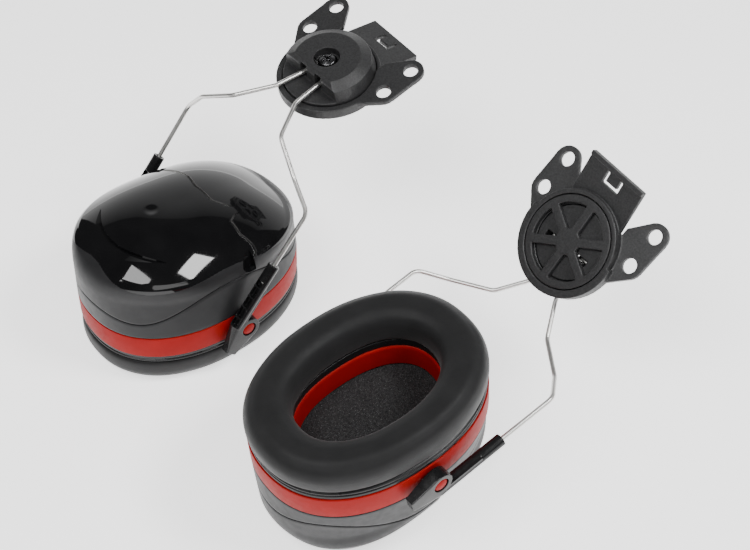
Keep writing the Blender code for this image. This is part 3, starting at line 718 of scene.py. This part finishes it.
def chamfer_mesh():
    """What the chamfer takes off the rotor cap: a ring over a cone round the top's edge."""
    inner, outer = CAP_TOP_RADIUS - CAP_CHAMFER, CAP_TOP_RADIUS + CHAMFER_CLEAR
    low = CAP_TOP - CAP_CHAMFER_DROP / CAP_CHAMFER * (outer - inner)
    high = CAP_TOP + CHAMFER_CLEAR
    profile = ((inner, CAP_TOP), (outer, low), (outer, high), (inner, high))
    turns = circle(CHAMFER_POINTS)
    return loft([[(r * math.cos(t), r * math.sin(t), z) for t in turns] for r, z in profile], True)


def softened(unit, node, body, finish, place, voxel, tools=()):
    """The CAD node's shape, remeshed so that its moulded edges are rounded, in its own frame."""
    name = f"{unit}_{node}"
    mesh = frame["nodes"][name].data.copy()
    mesh.transform(place.inverted())
    obj = bpy.data.objects.new(name + "_look", mesh)
    bpy.context.scene.collection.objects.link(obj)
    obj.matrix_world = place
    if tools:
        cut_away(obj, tools)
    remesh = obj.modifiers.new("remesh", "REMESH")
    remesh.mode = "VOXEL"
    remesh.voxel_size = voxel * MM
    smooth = obj.modifiers.new("smooth", "SMOOTH")
    smooth.factor, smooth.iterations = SMOOTHING, SMOOTHING_STEPS
    fewer = obj.modifiers.new("fewer", "DECIMATE")
    fewer.ratio = SOFTENED_KEEP
    bpy.context.view_layer.update()
    apply_modifiers(obj)
    obj.data.name = name + "_look"
    obj.data.materials.clear()
    obj.data.materials.append(FINISHES[finish])
    obj.data.shade_smooth()
    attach(obj, f"{unit}_{body}")
    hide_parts(name)


def make_hard_parts(unit):
    """The stems and the adapter's pieces."""
    frames = FRAMES[unit]
    for name, _ in SIDES:
        softened(unit, name + "_stem", "stems", "stem", frames["yoke"], STEM_VOXEL)
    chamfer = cutter("chamfer", chamfer_mesh(), frames["rotor"])
    softened(unit, "rotor_cap", "rotor", "nylon", frames["rotor"], ROTOR_VOXEL, [chamfer])
    softened(unit, "rotor_retainer", "rotor", "nylon", frames["rotor"], ROTOR_VOXEL)
    softened(unit, "rotor_screw", "rotor", "screw_steel", frames["rotor"], SCREW_VOXEL)
    softened(unit, "adapter_plate", "adapter", "nylon", frames["plate"], PLATE_VOXEL)


# --- wires --------------------------------------------------------------------------------------


def rounded_route(points, radius, steps):
    """The points joined by straight runs, with each corner replaced by an arc of the radius."""
    route = [Vector(points[0])]
    for before, corner, after in zip(points, points[1:], points[2:]):
        corner = Vector(corner)
        back = (Vector(before) - corner).normalized()
        ahead = (Vector(after) - corner).normalized()
        half = back.angle(ahead) / 2
        reach = radius / math.tan(half)
        centre = corner + (back + ahead).normalized() * radius / math.sin(half)
        start = corner + back * reach - centre
        end = corner + ahead * reach - centre
        sweep = start.angle(end)
        for i in range(steps + 1):
            share = i / steps
            turned = start * math.sin((1 - share) * sweep) + end * math.sin(share * sweep)
            route.append(centre + turned / math.sin(sweep))
    return route + [Vector(points[-1])]


def make_wires(unit):
    """Spring wires from inside the stems to their outward-bent ends in the rotor."""
    yoke = FRAMES[unit]["yoke"]
    to_yoke = yoke.inverted() @ FRAMES[unit]["rotor"]
    last_bend = to_yoke @ (Vector(WIRE_LAST_BEND) * MM) / MM
    pin = to_yoke @ (Vector(WIRE_PIN) * MM) / MM
    run = rounded_route([(STEM_X, WIRE_START, STEM_Z), *WIRE_BENDS, last_bend, pin], WIRE_BEND_RADIUS, 10)
    crank = rounded_route([run[-2], pin, (WIRE_PIN_END, pin.y, pin.z)], WIRE_CRANK_RADIUS, 8)
    points = run[:-1] + crank[1:]
    for name, side in SIDES:
        curve = bpy.data.curves.new(f"{unit}_{name}_wire_look", "CURVE")
        curve.dimensions = "3D"
        curve.bevel_depth = WIRE_RADIUS * MM
        curve.bevel_resolution = 6
        curve.use_fill_caps = True
        spline = curve.splines.new("POLY")
        spline.points.add(len(points) - 1)
        for spot, point in zip(spline.points, points):
            spot.co = (side * point.x * MM, point.y * MM, point.z * MM, 1)
        spline.use_smooth = True
        curve.materials.append(FINISHES["spring_steel"])
        wire = bpy.data.objects.new(curve.name, curve)
        bpy.context.scene.collection.objects.link(wire)
        wire.matrix_world = yoke
        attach(wire, unit + "_wires")
        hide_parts(f"{unit}_{name}_wire")


# --- studio -------------------------------------------------------------------------------------


def aim(obj, place, target, roll=0.0):
    direction = Vector(target) - Vector(place)
    turn = direction.to_track_quat("-Z", "Y").to_matrix().to_4x4()
    obj.matrix_world = Matrix.Translation(place) @ turn @ Matrix.Rotation(math.radians(roll), 4, "Z")


def make_camera():
    data = bpy.data.cameras.new("camera")
    camera = bpy.data.objects.new("camera", data)
    bpy.context.scene.collection.objects.link(camera)
    data.sensor_width, data.lens = 36.0, CAMERA_LENS
    data.shift_x, data.shift_y = CAMERA_SHIFT
    data.clip_start = 0.01
    azimuth, elevation = math.radians(CAMERA_AZIMUTH), math.radians(CAMERA_ELEVATION)
    back = Vector(
        (
            math.sin(azimuth) * math.cos(elevation),
            -math.cos(azimuth) * math.cos(elevation),
            math.sin(elevation),
        )
    )
    cup = FRAMES["left"]["cup"].translation
    target = cup + Vector(CAMERA_TARGET) * MM
    aim(camera, target + back * CAMERA_DISTANCE * MM, target, CAMERA_ROLL)
    bpy.context.scene.camera = camera


def area_light(name, azimuth, elevation, distance, size, power, target=(0, 0, 0.04)):
    """A soft box seen from the target at an azimuth (0 from -Y, 90 from +X) and elevation."""
    data = bpy.data.lights.new(name, "AREA")
    data.shape = "RECTANGLE"
    data.size, data.size_y = size
    data.energy = power
    light = bpy.data.objects.new(name, data)
    bpy.context.scene.collection.objects.link(light)
    turn, rise = math.radians(azimuth), math.radians(elevation)
    way = Vector((math.sin(turn) * math.cos(rise), -math.cos(turn) * math.cos(rise), math.sin(rise)))
    aim(light, Vector(target) + way * distance, target)
    return light


def fade(light):
    """The soft box dims towards its upper edge."""
    light.data.use_nodes = True
    tree = light.data.node_tree
    place = tree.nodes.new("ShaderNodeNewGeometry").outputs["Parametric"]
    apart = tree.nodes.new("ShaderNodeSeparateXYZ")
    fall = tree.nodes.new("ShaderNodeMapRange")
    fall.inputs["To Min"].default_value, fall.inputs["To Max"].default_value = 1.0, BACKDROP_FADE
    tree.links.new(place, apart.inputs["Vector"])
    tree.links.new(apart.outputs["Y"], fall.inputs["Value"])
    tree.links.new(fall.outputs["Result"], tree.nodes["Emission"].inputs["Strength"])


def make_studio():
    """A plain pale floor, a dim room and four soft boxes."""
    mesh = bpy.data.meshes.new("floor")
    bm = bmesh.new()
    bmesh.ops.create_grid(bm, x_segments=1, y_segments=1, size=FLOOR_HALF)
    bm.to_mesh(mesh)
    bm.free()
    floor = bpy.data.objects.new("floor", mesh)
    bpy.context.scene.collection.objects.link(floor)
    floor.location.z = -FLOOR_DROP
    paint = Finish("floor_paint", specular=0.1)
    paint.shader.inputs["Roughness"].default_value = 0.9
    paint.colour(paint.noise(60), [(0.3, (0.93, 0.93, 0.93)), (0.7, (0.95, 0.95, 0.95))])
    paint.shader.inputs["Emission Color"].default_value = (1, 1, 1, 1)
    paint.shader.inputs["Emission Strength"].default_value = FLOOR_GLOW
    mesh.materials.append(paint.material)
    world = bpy.data.worlds.new("studio")
    world.use_nodes = True
    world.node_tree.nodes["Background"].inputs["Color"].default_value = (1, 1, 1, 1)
    world.node_tree.nodes["Background"].inputs["Strength"].default_value = ROOM_GLOW
    bpy.context.scene.world = world
    cup = FRAMES["left"]["cup"].translation + Vector((0, 0, CUP_MIDDLE))
    area_light("key", *KEY, cup)
    area_light("window", *WINDOW, cup)
    area_light("front", *FRONT)
    fade(area_light("backdrop", *BACKDROP))


make_camera()
for unit_name in UNITS:
    make_outer_cap(unit_name)
    make_cup_shell(unit_name)
    make_red_ring(unit_name)
    make_cushion(unit_name)
    make_liner(unit_name)
    make_hard_parts(unit_name)
    make_wires(unit_name)
make_studio()
